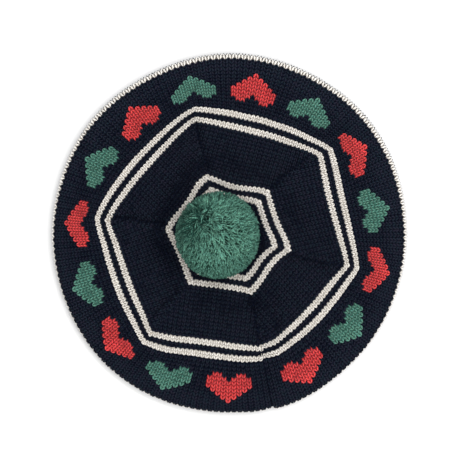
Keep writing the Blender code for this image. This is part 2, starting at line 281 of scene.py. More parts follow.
def rumple(radius, angle):
    """Slight unevenness of the crown, fading out at the rim."""
    x, y = radius * np.cos(angle), radius * np.sin(angle)
    waves = sum(height * np.sin(math.tau * (x / long_x + y / long_y))
                for height, long_x, long_y in RUMPLES)
    fade = smooth((RIM_RADIUS * RUMPLE_STOP - radius) / (RIM_RADIUS * RUMPLE_FADE))
    return waves * MILLIMETRE * fade


def skin(turn, station):
    """Points of the hat's outer face, as an array of x, y and z."""
    turn, station = np.broadcast_arrays(np.asarray(turn, float), np.asarray(station, float))
    above = np.maximum(station, 0.0)
    angle, reach = plan_place(turn, above)
    round_reach = reach / (outline_share(angle) * (1 - smooth(above / 2)) + smooth(above / 2))
    height = RIM_LEVEL + CROWN_RISE * np.sqrt(np.maximum(0, 1 - round_reach ** 2))
    radius = reach * RIM_RADIUS
    height = height + crown_relief(turn, above, reach) + rumple(radius, np.radians(angle))
    rim = line_angle(RIM_ANGLE, turn)
    lip = RIM_RADIUS * outline_share(rim) - LIP_RADIUS
    quarter = np.clip(-station, 0, 1) * math.pi / 2
    rise = np.clip((station + 1) / (SEAT_STATION + 1), 0, 1.1)
    under_radius = lip + LIP_RADIUS * np.cos(quarter) + (BAND_RADIUS + SEAT_MARGIN - lip) * rise
    under_height = RIM_LEVEL - LIP_RADIUS * np.sin(quarter)
    under_height = under_height + (BAND_HEIGHT - LIP_BASE) * smooth(rise)
    below = station < 0
    angle = np.radians(np.where(below, rim, angle))
    radius = np.where(below, under_radius, radius)
    height = np.where(below, under_height, height)
    return np.stack((radius * np.cos(angle), radius * np.sin(angle), height), axis=-1)


def dent_depth(dents, points, spread):
    """How far the deepest of some dents presses each point into the hat, in metres."""
    depth = np.zeros(points.shape[:-1])
    for wide, *passed in dents:
        turns, stations, deep = np.array(passed).T
        spots = skin(turns, stations)[:, :2]
        for start, run, deep_0, deep_1 in zip(spots, np.diff(spots, axis=0), deep, deep[1:]):
            aside = points[..., :2] - start
            along = np.clip(aside @ run / (run @ run), 0, 1)
            aside = np.linalg.norm(aside - along[..., None] * run, axis=-1)
            dent = bell(aside, wide * MILLIMETRE + spread)
            depth = np.maximum(depth, (deep_0 + (deep_1 - deep_0) * along) * MILLIMETRE * dent)
    return depth


def pleat_depth(points, spread=0.0):
    """How far the pleats, and the soft hollows that they cross, press each point in."""
    return dent_depth(PLEATS, points, spread) + dent_depth(HOLLOWS, points, spread)


for station in (0, 1, 2, 3, 3.9):
    print("station", station, "at", np.round(skin(0.5, station) / MILLIMETRE, 1), "mm")

# %% [markdown]
# ## Rows and stitches
#
# A beret's pattern is counted in rows and stitches. Row 0 lies on the roll, and the rows
# are numbered towards the middle: the cream stripe at the fold is rows -3 and -2, the
# hearts take rows 3 to 10, and the striped rings start at rows 14 and 34. One round has
# 183 stitches out to the rim, shared among the six wedges.

# %% Rows
STITCHES = (31, 28, 33, 34, 30, 27)
ROUND = sum(STITCHES)
FIRST_STITCH = np.concatenate(([0], np.cumsum(STITCHES)))
RIM_STRIPE = (-3, -2)
STRIPE_TOP = -1
RING_ROW = 14
RING_ROWS = (14, 15, 18, 19, 34, 35, 38, 39)
LAST_ROW = 47
# the row beside the headband, and the rows from the rim's stripe down to the lowest line
FIRST_ROW = -25
LIP_ROWS = 4
LIP_ROW = RIM_STRIPE[0] - LIP_ROWS
# the stripe's slide along the fold is fullest at the stripe and fades over this many rows
SLIDE_ROWS = 15
# length of fabric for one station past the roll, and the station where the rings start
STATION_LENGTH = 0.0287
RING_STATION = 2.02
# rows where the hearts start and end, and their lengths along the fabric from the rim
HEART_ROWS = (3, 11)
HEART_ARCS = (0.0156, 0.0355)
# rows and the stations where they start, past the outer ring and under the lip
CROWN_ROWS = ((RING_ROW, 20, 34, 40, 52), (RING_STATION, 2.28, 3.015, 3.33, 4.0))
UNDER_ROWS = ((FIRST_ROW, LIP_ROW), (SEAT_STATION, -1.0))
# how far some rows are pulled outwards at the corners of a wedge, in stations
CORNER_PULL = ((RING_ROW, 20, 34), (0.0, 0.045, 0.0))


def fold_station(arc):
    """Station at a length along the fabric above the rim's widest line, or below it."""
    rolled = np.interp(arc, ROLLED_ARCS, np.linspace(0, 1, len(ROLLED_ARCS)))
    past = np.maximum(arc - ROLLED_ARCS[-1], 0) / STATION_LENGTH
    return np.where(arc < 0, arc / LIP_ARC, rolled + past)


def row_station(row, turn):
    """Station where a row starts, at each turn. A row may be a fraction."""
    row, turn = np.broadcast_arrays(np.asarray(row, float), np.asarray(turn, float))
    slide = np.cos(np.radians(line_angle(RIM_ANGLE, turn) - FOLD_SLIDE_TOWARDS))
    slide = FOLD_SLIDE * slide * (1 + SLIDE_FULLNESS - SLIDE_FULLNESS * slide * slide)
    slide = slide * (1 - (np.clip(row - STRIPE_TOP, 0, SLIDE_ROWS) / SLIDE_ROWS) ** 2)
    ring_start = ROLLED_ARCS[-1] + (RING_STATION - 1) * STATION_LENGTH
    on_crown = slide + np.interp(row, (STRIPE_TOP, *HEART_ROWS, RING_ROW),
                                 (STRIPE_START, *HEART_ARCS, ring_start))
    stripe_foot = STRIPE_START + slide - len(RIM_STRIPE) * ROW_PITCH
    past_foot = row - RIM_STRIPE[0]
    on_stripe = stripe_foot + past_foot * ROW_PITCH
    on_lip = stripe_foot + (stripe_foot + LIP_ARC) * past_foot / LIP_ROWS
    arc = np.where(row > STRIPE_TOP, on_crown, np.where(past_foot > 0, on_stripe, on_lip))
    pull = np.abs(wedge_of(turn)[2]) ** 3 * np.interp(row, *CORNER_PULL)
    station = np.where(row > RING_ROW, np.interp(row, *CROWN_ROWS) - pull, fold_station(arc))
    return np.where(row < LIP_ROW, np.interp(row, *UNDER_ROWS), station)


print(ROUND, "stitches in a round,", LAST_ROW - FIRST_ROW + 1, "rows")


# %% [markdown]
# ## Where each stitch goes
#
# Outside the outer ring the columns of stitches fan out evenly. Inside it they run
# straight across each wedge, at a right angle to its side, and are cut off where the
# wedge narrows, which is how the decreases look on the real hat. For each stitch we keep
# its centre, a vector across it that is one stitch wide, a vector down it that is one row
# tall and points the way the V points, and its outward normal.

# %% Cells of the knit
def pack_cells(centre, across, down, row, number):
    """One record of arrays for a set of stitches."""
    out = unit(np.cross(down, across))
    return dict(centre=centre, across=across, down=down, out=out, row=row, number=number)


def join_cells(parts):
    """Several sets of stitches as one."""
    return {key: np.concatenate([part[key] for part in parts]) for key in parts[0]}


def pick(cells, mask):
    """The stitches of a set for which the mask is true."""
    return {key: value[mask] for key, value in cells.items()}


def fan_cells(rows):
    """Stitches of the rim and the underside, evenly spread round the hat."""
    number = np.arange(ROUND)
    wedge = np.searchsorted(FIRST_STITCH, number, side="right") - 1
    width = 1 / np.array(STITCHES)[wedge]
    turn = wedge + (number - FIRST_STITCH[wedge] + 0.5) * width
    row, turn = (a.ravel() for a in np.meshgrid(rows, turn, indexing="ij"))
    width, number = np.tile(width, len(rows)), np.tile(number, len(rows))
    middle = row_station(row + 0.5, turn)
    # measured over four fifths of the stitch's width, then made its whole width
    across = 1.25 * (skin(turn + 0.4 * width, middle) - skin(turn - 0.4 * width, middle))
    down = skin(turn, row_station(row, turn)) - skin(turn, row_station(row + 1, turn))
    return pack_cells(skin(turn, middle), across, down, row, number)


# turns at which a wedge is measured, a hair inside its lines, and a small step between turns
WEDGE_SAMPLES = np.linspace(0.0005, 0.9995, 161)
TURN_STEP = 0.004


def wedge_cells(wedge, rows):
    """Stitches of one wedge inside the outer ring, in columns square to its side."""
    samples = wedge + WEDGE_SAMPLES
    ends = skin(samples[[0, -1]], 2.0)
    side = (ends[1] - ends[0])[:2]
    length = np.linalg.norm(side)
    side /= length
    pitch = length / STITCHES[wedge]
    spots = (np.arange(STITCHES[wedge]) - (STITCHES[wedge] - 1) / 2) * pitch
    middle = (ends[0] + ends[1])[:2] / 2

    def turns_at(row):
        points = skin(samples, row_station(row, samples))
        along = (points[:, :2] - middle) @ side
        return np.interp(spots, along, samples), along

    found = []
    for row in rows:
        turn, along = turns_at(row + 0.5)
        # a stitch is cut off where its middle is a quarter stitch past the wedge's line
        inside = (spots > along[0] - 0.25 * pitch) & (spots < along[-1] + 0.25 * pitch)
        station = row_station(row + 0.5, turn)
        step = (skin(np.minimum(turn + TURN_STEP, samples[-1]), station)
                - skin(np.maximum(turn - TURN_STEP, samples[0]), station))
        across = step * (pitch / (step[:, :2] @ side))[:, None]
        low, high = turns_at(row)[0], turns_at(row + 1)[0]
        down = skin(low, row_station(row, low)) - skin(high, row_station(row + 1, high))
        number = FIRST_STITCH[wedge] + np.arange(len(spots))
        cells = pack_cells(skin(turn, station), across, down, np.full(len(spots), row), number)
        found.append(pick(cells, inside))
    return join_cells(found)


fan = fan_cells(np.arange(RIM_STRIPE[0], RING_ROW))
under = fan_cells(np.arange(FIRST_ROW, RIM_STRIPE[0]))
inner = join_cells([wedge_cells(wedge, range(RING_ROW, LAST_ROW + 1))
                    for wedge in range(WEDGE_COUNT)])
for zone, cells in (("rim", fan), ("wedges", inner), ("underside", under)):
    print(zone, len(cells["row"]), "stitches")

# %% [markdown]
# ## Hearts
#
# The hearts are charted as a knitter would: one mark for each stitch, nine stitches wide
# and eight rows tall, the tip towards the rim. They are knitted every twelve stitches, red
# and green in turn.

# %% Heart chart
HEART = (
    "....X....",
    "...XXX...",
    "..XXXXX..",
    ".XXXXXXX.",
    "XXXXXXXXX",
    "XXXXXXXXX",
    "XXXX.XXXX",
    ".XX...XX.",
)
# the stitch at the middle of the first heart, the stitches from one heart to the next
HEART_FIRST = 7
HEART_EVERY = 12
HEART_COUNT = 15


def heart_mask(cells, colour):
    """Stitches that belong to the hearts of one colour: 0 for red and 1 for green."""
    chart = np.array([[mark == "X" for mark in line] for line in HEART])
    heart = (cells["number"] - HEART_FIRST + HEART_EVERY // 2) // HEART_EVERY
    column = cells["number"] - HEART_FIRST - heart * HEART_EVERY + chart.shape[1] // 2
    line = cells["row"] - HEART_ROWS[0]
    fits = (column >= 0) & (column < chart.shape[1]) & (line >= 0) & (line < len(HEART))
    fits &= (heart >= 0) & (heart < HEART_COUNT) & (heart % 2 == colour)
    marked = chart[np.clip(line, 0, len(HEART) - 1), np.clip(column, 0, chart.shape[1] - 1)]
    return fits & marked


is_red, is_green = heart_mask(fan, 0), heart_mask(fan, 1)
print("heart stitches: red", is_red.sum(), "green", is_green.sum())

# %% [markdown]
# ## Wool
#
# Knitting wool is matte, a little hairy and never one flat colour: its plies turn round
# each other, fibres catch the light, and each stitch sits a little lighter or darker than
# its neighbour. One node group makes that from the yarn's own map and from noise in the
# object's coordinates, and every yarn material uses it with its own dark and light colours.

# %% Wool node group
def new_group(name, inputs, outputs):
    """Empty shader node group with named sockets; returns it with its two ends."""
    group = bpy.data.node_groups.new(name, "ShaderNodeTree")
    for label, kind, value in inputs:
        socket = group.interface.new_socket(label, in_out="INPUT", socket_type="NodeSocket" + kind)
        if value is not None:
            socket.default_value = value
    for label, kind in outputs:
        group.interface.new_socket(label, in_out="OUTPUT", socket_type="NodeSocket" + kind)
    return group, group.nodes.new("NodeGroupInput"), group.nodes.new("NodeGroupOutput")


def wire(tree, source, target):
    """Join two sockets."""
    tree.links.new(source, target)


def set_inputs(node, **values):
    """Give inputs of a node their own values; a _ stands for a space in a name."""
    for label, value in values.items():
        node.inputs[label.replace("_", " ")].default_value = value


def maths(tree, operation, *values, clamp=False):
    """Math node fed by sockets or numbers."""
    node = tree.nodes.new("ShaderNodeMath")
    node.operation = operation
    node.use_clamp = clamp
    for socket, value in zip(node.inputs, values):
        if isinstance(value, bpy.types.NodeSocket):
            wire(tree, value, socket)
        else:
            socket.default_value = value
    return node.outputs[0]


def add_shares(tree, total, *terms):
    """A socket plus others, each times its own share."""
    for value, share in terms:
        total = maths(tree, "ADD", total, maths(tree, "MULTIPLY", value, share))
    return total


def noise(tree, place, scale, detail):
    """Noise on a place, finer as its scale goes up."""
    node = tree.nodes.new("ShaderNodeTexNoise")
    set_inputs(node, Scale=scale, Detail=detail)
    wire(tree, place, node.inputs["Vector"])
    return node.outputs[0]


def blend(tree, factor, first, second):
    """Colour between two colour sockets."""
    mixer = tree.nodes.new("ShaderNodeMix")
    mixer.data_type = "RGBA"
    wire(tree, factor, mixer.inputs["Factor"])
    wire(tree, first, mixer.inputs["A"])
    wire(tree, second, mixer.inputs["B"])
    return mixer.outputs["Result"]


# how much the fibres, the plies, soft clouds and the stitch's own tone lighten the wool
FIBRE_SHARE, PLY_SHARE, CLOUD_SHARE, TONE_SHARE = 1.20, 0.20, 0.12, 0.75
MIDDLE_SHADE = (FIBRE_SHARE + PLY_SHARE + CLOUD_SHARE + TONE_SHARE) / 2


def make_wool_group():
    """Twist, fibre and shade of a wool yarn, as a colour and a height."""
    group, ends_in, ends_out = new_group("wool_yarn", (
        ("Dark", "Color", None), ("Light", "Color", None), ("Other light", "Color", None),
        ("Yarn place", "Vector", None), ("Object place", "Vector", None),
        ("Stitch tone", "Float", 0.5), ("Twists", "Float", 3.0), ("Contrast", "Float", 1.0),
    ), (("Colour", "Color"), ("Height", "Float")))
    fed = ends_in.outputs
    split = group.nodes.new("ShaderNodeSeparateXYZ")
    wire(group, fed["Yarn place"], split.inputs[0])
    along = maths(group, "MULTIPLY", split.outputs[1], fed["Twists"])
    around = maths(group, "MULTIPLY", split.outputs[0], 2.0)
    phase = maths(group, "MULTIPLY", maths(group, "ADD", along, around), math.tau)
    ply = maths(group, "MULTIPLY_ADD", maths(group, "SINE", phase), 0.5, 0.5)
    fibre = noise(group, fed["Object place"], scale=1150.0, detail=3.0)
    cloud = noise(group, fed["Object place"], scale=420.0, detail=2.0)
    # the stitch tone brings each stitch's random tone together with the painted shade and light
    # laid on it
    shade = add_shares(group, maths(group, "MULTIPLY", fibre, FIBRE_SHARE), (ply, PLY_SHARE),
                       (cloud, CLOUD_SHARE), (fed["Stitch tone"], TONE_SHARE))
    shade = maths(group, "SUBTRACT", shade, MIDDLE_SHADE)
    shade = maths(group, "MULTIPLY", shade, fed["Contrast"])
    shade = maths(group, "ADD", shade, 0.5, clamp=True)
    # where the clouds are thick, the light drifts to the other one
    patch = maths(group, "MULTIPLY_ADD", cloud, 4.0, -1.5, clamp=True)
    light = blend(group, patch, fed["Light"], fed["Other light"])
    wire(group, blend(group, shade, fed["Dark"], light), ends_out.inputs["Colour"])
    wire(group, add_shares(group, ply, (fibre, 0.7)), ends_out.inputs["Height"])
    return group


wool_group = make_wool_group()
print("wool group has", len(wool_group.nodes), "nodes")


# %% Yarn materials
# the dark of each yarn, and two lights that its fibres drift between
YARNS = {
    "navy": ((0.0003, 0.0012, 0.0054, 1), (0.0138, 0.0132, 0.0245, 1), (0.0085, 0.0156, 0.0236, 1)),
    "cream": ((0.34, 0.31, 0.27, 1), (0.88, 0.84, 0.78, 1), (0.86, 0.83, 0.79, 1)),
    "red": ((0.15, 0.003, 0.006, 1), (0.73, 0.056, 0.052, 1), (0.69, 0.047, 0.054, 1)),
    "green": ((0.009, 0.050, 0.038, 1), (0.090, 0.226, 0.163, 1), (0.074, 0.226, 0.177, 1)),
    "pompom": ((0.006, 0.040, 0.030, 1), (0.164, 0.396, 0.286, 1), (0.146, 0.392, 0.300, 1)),
}
CONTRAST = {"navy": 3.0, "cream": 1.15, "red": 1.45, "green": 1.65, "pompom": 1.2}
SHEEN = {"navy": 0.012, "cream": 0.15, "red": 0.10, "green": 0.10, "pompom": 0.03}
SPECULAR = {"navy": 0.01, "cream": 0.15, "red": 0.08, "green": 0.08, "pompom": 0.08}
YARN_BUMP = 0.00018


def yarn_material(name):
    """Principled material of one yarn, fed by the wool group."""
    dark, light, other_light = YARNS[name]
    material = bpy.data.materials.new(name + "_wool")
    material.diffuse_color = light
    material.use_nodes = True
    tree = material.node_tree
    shader = tree.nodes["Principled BSDF"]
    set_inputs(shader, Roughness=0.9, Specular_IOR_Level=SPECULAR[name],
               Sheen_Weight=SHEEN[name], Sheen_Roughness=0.55)
    yarn = tree.nodes.new("ShaderNodeGroup")
    yarn.node_tree = wool_group
    set_inputs(yarn, Dark=dark, Light=light, Other_light=other_light, Contrast=CONTRAST[name])
    place = tree.nodes.new("ShaderNodeTexCoord")
    tone = tree.nodes.new("ShaderNodeAttribute")
    tone.attribute_name = "tone"
    wire(tree, place.outputs["UV"], yarn.inputs["Yarn place"])
    wire(tree, place.outputs["Object"], yarn.inputs["Object place"])
    wire(tree, tone.outputs["Fac"], yarn.inputs["Stitch tone"])
    relief = tree.nodes.new("ShaderNodeBump")
    set_inputs(relief, Strength=1.0, Distance=YARN_BUMP)
    wire(tree, yarn.outputs["Height"], relief.inputs["Height"])
    wire(tree, yarn.outputs["Colour"], shader.inputs["Base Color"])
    wire(tree, relief.outputs["Normal"], shader.inputs["Normal"])
    return material


wool = {name: yarn_material(name) for name in YARNS}
print("yarns:", ", ".join(wool))

# %% [markdown]
# ## One leg of a stitch
#
# A stitch of stocking stitch shows as a V: two legs of yarn that come up through the
# stitch below, swell, and tuck away behind the next row. One leg is modelled: a
# disc of four sides, or three on the underside, is extruded ring by ring, each ring moved
# and sized by the table, and the second leg is its mirror. x is a share of the stitch's
# width, y a share of the row's height, and z is in millimetres of yarn.

# %% Leg of a stitch
# x, y and z of each ring's middle, its half width and its half height
LEG_RINGS = (
    (0.080, 0.710, -0.74, 0.080, 0.36),
    (0.120, 0.440, 0.00, 0.135, 0.62),
    (0.240, 0.020, 0.18, 0.185, 0.78),
    (0.350, -0.380, 0.00, 0.155, 0.66),
    (0.400, -0.660, -0.84, 0.085, 0.40),
)
# the same leg, pulled thin where the fold stretches the knit
THIN_LEG_RINGS = (
    (0.110, 0.740, -0.80, 0.075, 0.34),
    (0.150, 0.480, 0.00, 0.120, 0.60),
    (0.240, 0.000, 0.14, 0.140, 0.70),
    (0.320, -0.440, 0.00, 0.125, 0.60),
    (0.360, -0.720, -0.80, 0.080, 0.36),
)
# a plainer leg for the underside
LOW_LEG_RINGS = (
    (0.130, 0.740, -0.70, 0.120, 0.40),
    (0.245, -0.010, 0.14, 0.235, 0.90),
    (0.360, -0.740, -0.80, 0.120, 0.40),
)


def extruded_tube(name, rings, sides):
    """Closed tube, extruded from a disc through a table of rings that stand across y."""
    bpy.ops.mesh.primitive_circle_add(vertices=sides, radius=1.0, fill_type="NGON",
                                      rotation=(math.pi / 2, 0, 0), location=(0, 0, 0))
    tube = bpy.context.object
    tube.name = name
    bpy.ops.object.transform_apply(location=True, rotation=True, scale=True)
    bpy.ops.object.mode_set(mode="EDIT")
    bpy.ops.mesh.select_all(action="SELECT")
    x, y, z, wide, tall = rings[0]
    bpy.ops.transform.resize(value=(wide, 1, tall), center_override=(0, 0, 0))
    bpy.ops.transform.translate(value=(x, y, z))
    for (x0, y0, z0, wide_0, tall_0), (x, y, z, wide, tall) in zip(rings, rings[1:]):
        bpy.ops.mesh.extrude_region_move(
            TRANSFORM_OT_translate={"value": (x - x0, y - y0, z - z0)})
        bpy.ops.transform.resize(value=(wide / wide_0, 1, tall / tall_0),
                                 center_override=(x, y, z))
    bpy.ops.mesh.select_all(action="SELECT")
    bpy.ops.mesh.normals_make_consistent(inside=False)
    bpy.ops.mesh.quads_convert_to_tris()
    bpy.ops.object.mode_set(mode="OBJECT")
    return tube


def mirrored(tube):
    """The tube and its mirror across x, as one mesh."""
    mirror = tube.modifiers.new("mirror", "MIRROR")
    mirror.use_mirror_merge = False
    bpy.context.view_layer.objects.active = tube
    bpy.ops.object.modifier_apply(modifier=mirror.name)
    return tube


def read_pattern(obj, rings):
    """Corners, triangles and yarn map of a modelled shape, which is then removed."""
    mesh = obj.data
    corners = np.array([v.co for v in mesh.vertices], float)
    faces = np.array([p.vertices for p in mesh.polygons], int)
    table = np.array(sorted(rings, key=lambda ring: ring[1]), float)
    x, z, wide, tall = (np.interp(corners[:, 1], table[:, 1], table[:, c]) for c in (0, 2, 3, 4))
    aside = (np.abs(corners[:, 0]) - x) / wide * np.where(corners[:, 0] < 0, -1, 1)
    around = np.arctan2((corners[:, 2] - z) / tall, aside) / math.tau
    u = around[faces]
    u = np.where(u.max(axis=1, keepdims=True) - u > 0.5, u + 1, u)
    v = corners[:, 1][faces]
    rise = (corners[:, 2] - corners[:, 2].min()) / np.ptp(corners[:, 2])
    bpy.data.objects.remove(obj)
    return dict(corners=corners, faces=faces, uv=np.stack((u, v), axis=-1), rise=rise)


stitch, thin_stitch, low_stitch = (
    read_pattern(mirrored(extruded_tube(name, rings, sides)), rings)
    for name, rings, sides in (("leg", LEG_RINGS, 4), ("thin_leg", THIN_LEG_RINGS, 4),
                               ("low_leg", LOW_LEG_RINGS, 3)))
print("stitch:", len(stitch["faces"]), "triangles; plain stitch:", len(low_stitch["faces"]))


# %% [markdown]
# ## Laying stitches
#
# The modelled V is copied to every stitch of a region and colour. Each copy is stretched
# to its own cell, turned to its own normal, and moved a hair aside at random, since no
# two stitches are quite alike. All copies of one colour make one mesh, with each stitch's
# tone kept as an attribute that its wool reads.

# %% Lay a region
YARN_DEPTH = 0.00095
# how unevenly stitches lean, widen, slip down their column and swell, and how much a swell
# lifts the yarn
UNEVEN = 0.05 * np.array([0.45, 0.6, 0.7, 1.0])
SWELL_LIFT = 0.8
# how unevenly they are toned, by column and one by one
COLUMN_TONES, STITCH_TONES = 0.02, 0.08
# how much painted shade darkens the yarn down between the stitches, under this level of their rise
HOLLOW_SHADE, HOLLOW_LEVEL = 1.6, 0.75
# how much painted shade darkens the yarn for each millimetre of pleat or hollow, and how
# much painted light lightens a stitch at the point of its V, in dark yarn and in bright yarn
PLEAT_SHADE, BRIGHT_PLEAT_SHADE = 0.25, 0.14
POINT_LIFT, BRIGHT_POINT_LIFT = 0.40, 0.12
# painted light on the roll: how much lighter it makes the yarn, and the shares of the
# rim's radius where that starts and over which it grows
RIM_PAINTED_LIGHT, RIM_LIGHT_START, RIM_LIGHT_GROWS = 0.36, 0.84, 0.12
pieces = []


def lay(name, cells, pattern, yarn, seed, pleated=True):
    """Copies of a pattern on a set of stitches, as one piece of the hat."""
    chance = np.random.default_rng(seed)
    count, size = len(cells["row"]), len(pattern["corners"])
    place, across, down, out = (cells[key][:, None, :]
                                for key in ("centre", "across", "down", "out"))
    point_lift, pleat_shade = ((POINT_LIFT, PLEAT_SHADE) if yarn == "navy"
                               else (BRIGHT_POINT_LIFT, BRIGHT_PLEAT_SHADE))
    lean, widen, slip, swell = np.hsplit(chance.normal(0.0, UNEVEN, (count, 4)), 4)
    x, y, z = pattern["corners"].T
    # painted shade low on each leg and towards the ends of the V's arms, painted light at its point
    hollow = pattern["rise"] + point_lift * y - HOLLOW_LEVEL
    x = x * (1 + widen) + lean * y
    y = y + slip
    z = z * (1 + swell) + SWELL_LIFT * swell
    points = place + x[..., None] * across + y[..., None] * down
    points += (z * MILLIMETRE - YARN_DEPTH)[..., None] * out
    reach = np.linalg.norm(cells["centre"][:, :2], axis=1) / RIM_RADIUS
    lift = smooth((reach - RIM_LIGHT_START) / RIM_LIGHT_GROWS)
    column_tone = chance.normal(0, COLUMN_TONES, cells["number"].max() + 1)[cells["number"]]
    # columns differ more where the roll stretches them
    tone = 0.5 + chance.normal(0, STITCH_TONES, count) + column_tone * (1 + 3 * lift)
    # painted light on the roll, then the painted shade and light of each stitch
    tone = (tone + RIM_PAINTED_LIGHT * lift)[:, None] + HOLLOW_SHADE * hollow
    if pleated:
        pressed = pleat_depth(points)
        points -= pressed[..., None] * out
        # painted shade in the pleats and hollows, by how far they press in
        tone -= pleat_shade * pressed / MILLIMETRE
    points[..., 2] = np.maximum(points[..., 2], 0.0)
    faces = (pattern["faces"][None] + np.arange(count)[:, None, None] * size).reshape(-1, 3)
    uv = pattern["uv"][None] + chance.random((count, 1, 1, 2))
    new_piece(name, points.reshape(-1, 3), faces, uv.reshape(-1, 2),
              np.clip(tone, 0, 1).ravel(), wool[yarn])


def hand_over(piece):
    """A finished piece rides on the hat, joins the other pieces and is let go."""
    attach(piece, "root")
    pieces.append(piece)
    bpy.ops.object.select_all(action="DESELECT")


def new_piece(name, corners, faces, uv, tone, material):
    """Mesh object from arrays, smooth, with its yarn map and its tone."""
    mesh = bpy.data.meshes.new(name)
    mesh.vertices.add(len(corners))
    mesh.vertices.foreach_set("co", corners.astype(np.float32).ravel())
    mesh.loops.add(len(faces) * 3)
    mesh.loops.foreach_set("vertex_index", faces.astype(np.int32).ravel())
    mesh.polygons.add(len(faces))
    mesh.polygons.foreach_set("loop_start", np.arange(0, len(faces) * 3, 3, dtype=np.int32))
    mesh.update(calc_edges=True)
    mesh.uv_layers.new(name="yarn").data.foreach_set("uv", uv.astype(np.float32).ravel())
    mesh.attributes.new("tone", "FLOAT", "POINT").data.foreach_set("value", tone.astype(np.float32))
    mesh.shade_smooth()
    mesh.validate()
    mesh.materials.append(material)
    piece = bpy.data.objects.new(name, mesh)
    bpy.context.scene.collection.objects.link(piece)
    hand_over(piece)
    print(name, len(faces), "triangles")
    return piece


# %% Rim zone and hearts
in_stripe = np.isin(fan["row"], RIM_STRIPE)
rim_navy = ~in_stripe & ~is_red & ~is_green
lay("rim_stitches", pick(fan, rim_navy), stitch, "navy", 11)
lay("rim_stripe_stitches", pick(fan, in_stripe), thin_stitch, "cream", 12)
lay("red_hearts", pick(fan, is_red), stitch, "red", 13)
lay("green_hearts", pick(fan, is_green), stitch, "green", 14)

# %% Wedges and striped rings
in_ring = np.isin(inner["row"], RING_ROWS)
lay("wedge_stitches", pick(inner, ~in_ring), stitch, "navy", 15)
lay("ring_stitches", pick(inner, in_ring), stitch, "cream", 16)

# %% Underside
lay("underside_stitches", under, low_stitch, "navy", 17, pleated=False)

# %% [markdown]
# ## The back of the knit
#
# Behind the V's lies the back of the fabric, which closes the gaps between them and shows
# inside the hat. It is made flat like the real one: a grid with a column for each stitch
# and a row for each row, each cell coloured as its stitch is but mostly darker, as painted
# shade in the gaps. It is then wrapped round the hat by the same turns and rows, joined
# along the seam and given a wall.

# %% Material of the purl side
PURL_BUMP = 0.0005


def purl_material():
    """Wool seen from its purl side: bumps in rows, in each stitch's colour and painted shade."""
    material = yarn_material("navy")
    material.name = "purl_side_wool"
    tree = material.node_tree
    place, wool_node, relief = (next(node for node in tree.nodes if node.type == kind)
                                for kind in ("TEX_COORD", "GROUP", "BUMP"))
    tree.links.remove(wool_node.inputs["Stitch tone"].links[0])
    dye_and_shade = tree.nodes.new("ShaderNodeAttribute")
    dye_and_shade.attribute_name = "dye_and_shade"
    for label, share in (("Dark", 0.5), ("Light", 1.5), ("Other light", 1.5)):
        scale = tree.nodes.new("ShaderNodeVectorMath")
        scale.operation = "SCALE"
        set_inputs(scale, Scale=share)
        wire(tree, dye_and_shade.outputs["Color"], scale.inputs[0])
        wire(tree, scale.outputs[0], wool_node.inputs[label])
    split = tree.nodes.new("ShaderNodeSeparateXYZ")
    wire(tree, place.outputs["UV"], split.inputs[0])
    # a ridge for each row, bent up and down once in every stitch
    cup = maths(tree, "SINE", maths(tree, "MULTIPLY", split.outputs[0], math.tau))
    shifted = add_shares(tree, split.outputs[1], (cup, 0.22))
    ridge = maths(tree, "SINE", maths(tree, "MULTIPLY", shifted, math.tau))
    height = add_shares(tree, ridge, (cup, 0.35), (wool_node.outputs["Height"], 0.3))
    wire(tree, height, relief.inputs["Height"])
    set_inputs(relief, Distance=PURL_BUMP)
    return material


purl_wool = purl_material()
print("purl side:", len(purl_wool.node_tree.nodes), "nodes")

# %% Where the back lies, and its colours and painted shade
BACK_DEPTH = 0.0014
BACK_WALL = 0.0013
# the back's pleats are wider by this, its middle is drawn together inside this radius, and
# corners this near each other are one
PLEAT_SPREAD = 0.0016
MIDDLE_RADIUS = 0.0012
MERGE_GAP = 0.00001
# the last station that still has a direction, and the small step that measures directions
LAST_STATION = 3.999
NUDGE = 0.01
# the colour of each yarn's back, mostly darker than the yarn in front as painted shade in the gaps
# between the stitches; the stripe's back is darker still, painted shade between its stretched
# stitches
DYES_AND_SHADE = {
    "navy": (0.0040, 0.0062, 0.0150),
    "cream": (0.44, 0.40, 0.35),
    "painted_shade_cream": (0.22, 0.19, 0.16),
    "red": (0.26, 0.012, 0.014),
    "green": (0.024, 0.095, 0.070),
}


def back_of_hat(column, row):
    """Place of the knit's back behind a column and a row of the hat."""
    turn = np.interp(column, FIRST_STITCH, np.arange(WEDGE_COUNT + 1.0))
    station = np.minimum(row_station(row, turn), LAST_STATION)
    low = np.maximum(station - NUDGE, SEAT_STATION)
    high = np.minimum(station + NUDGE, LAST_STATION)
    down = skin(turn, low) - skin(turn, high)
    across = skin(turn + NUDGE, station) - skin(turn - NUDGE, station)
    place = skin(turn, station)
    pressed = np.where(row > STRIPE_TOP, pleat_depth(place, PLEAT_SPREAD), 0.0)
    return place - unit(np.cross(down, across)) * (BACK_DEPTH + pressed)[:, None]


def dye_and_shade_of_hat(column, row):
    """Colour of the stitch in front of each cell of the hat's back, mostly darker than its yarn:
    painted shade in the gaps.
    """
    dye_and_shade = np.tile(DYES_AND_SHADE["navy"], (len(row), 1))
    dye_and_shade[np.isin(row, RING_ROWS)] = DYES_AND_SHADE["cream"]
    dye_and_shade[np.isin(row, RIM_STRIPE)] = DYES_AND_SHADE["painted_shade_cream"]
    for index, colour in enumerate(("red", "green")):
        dye_and_shade[heart_mask(dict(number=column, row=row), index)] = DYES_AND_SHADE[colour]
    return dye_and_shade


# %% Purl back
def grid_places(items, field, columns, rows):
    """Column and row of each corner or face of a flat grid."""
    flat = np.empty(len(items) * 3, np.float32)
    items.foreach_get(field, flat)
    share = flat.reshape(-1, 3) + 0.5
    return share[:, 0] * columns, rows[0] + share[:, 1] * (rows[1] - rows[0])


